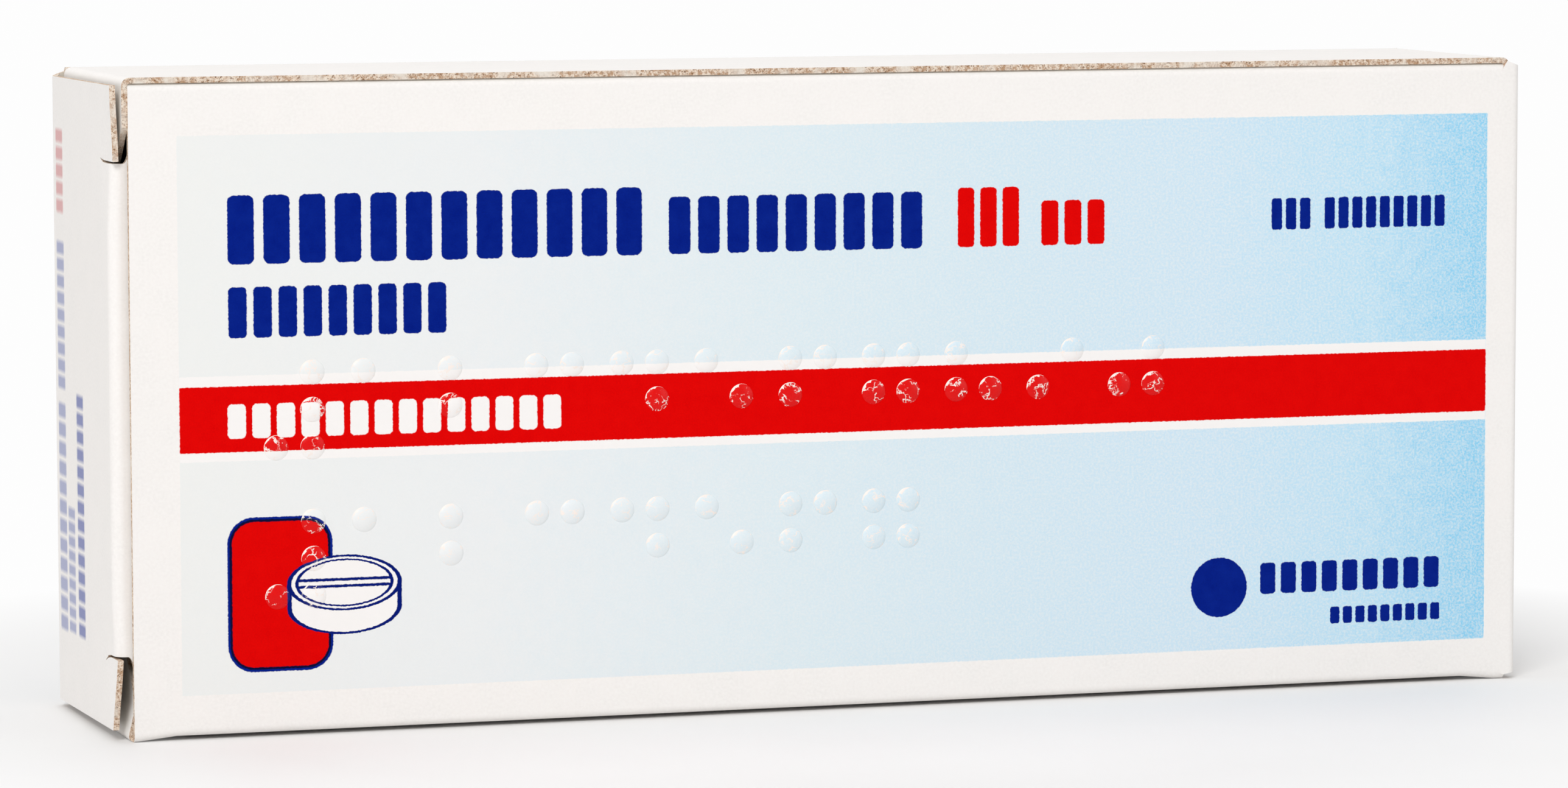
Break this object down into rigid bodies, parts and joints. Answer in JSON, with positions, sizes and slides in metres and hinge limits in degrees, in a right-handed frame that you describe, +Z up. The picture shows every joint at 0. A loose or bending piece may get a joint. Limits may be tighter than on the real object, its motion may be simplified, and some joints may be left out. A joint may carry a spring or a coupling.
{
  "type": "tablet carton",
  "caption": "Folding carton with a tuck closure at each end, standing on a long narrow side, holding blister strips of scored round tablets and a folded leaflet.",
  "frame": {"origin": "centre of the underside of the bounding box, which lies on the surface that the carton stands on", "axes": "+X along the carton's length to the right as seen from its large front panel, +Y from the front panel to the back panel, +Z up"},
  "size_m": [0.1012, 0.02, 0.0442],
  "materials": {
    "board": "coated white board with brown raw edges, satin",
    "film": "clear thermoformed film",
    "foil": "satin lidding foil",
    "tablet": "pressed powder, matt",
    "paper": "thin uncoated paper"
  },
  "bodies": {
    "carton": {"carton_sleeve": "board", "blister_film_front": "film", "blister_foil_front": "foil", "blister_film_rear": "film", "blister_foil_rear": "foil", "leaflet": "paper", "tablet_front_1": "tablet", "tablet_front_2": "tablet", "tablet_front_3": "tablet", "tablet_front_4": "tablet", "tablet_front_5": "tablet", "tablet_front_6": "tablet", "tablet_front_7": "tablet", "tablet_front_8": "tablet", "tablet_front_9": "tablet", "tablet_front_10": "tablet", "tablet_rear_1": "tablet", "tablet_rear_2": "tablet", "tablet_rear_3": "tablet", "tablet_rear_4": "tablet", "tablet_rear_5": "tablet", "tablet_rear_6": "tablet", "tablet_rear_7": "tablet", "tablet_rear_8": "tablet", "tablet_rear_9": "tablet", "tablet_rear_10": "tablet"},
    "left_end": {"end_closure_left": "board", "tuck_flap_left": "board"},
    "right_end": {"end_closure_right": "board", "tuck_flap_right": "board"}
  },
  "joints": [
    {"name": "left_end_opens", "type": "hinge", "parent": "carton", "child": "left_end", "pos_m": [-0.0506, 0.00935, 0.0221], "axis": [0, 0, -1], "range_deg": [0, 110], "deforming": ["tuck_flap_left"]},
    {"name": "right_end_opens", "type": "hinge", "parent": "carton", "child": "right_end", "pos_m": [0.0506, -0.00915, 0.0221], "axis": [0, 0, -1], "range_deg": [0, 110], "deforming": ["tuck_flap_right"]}
  ]
}
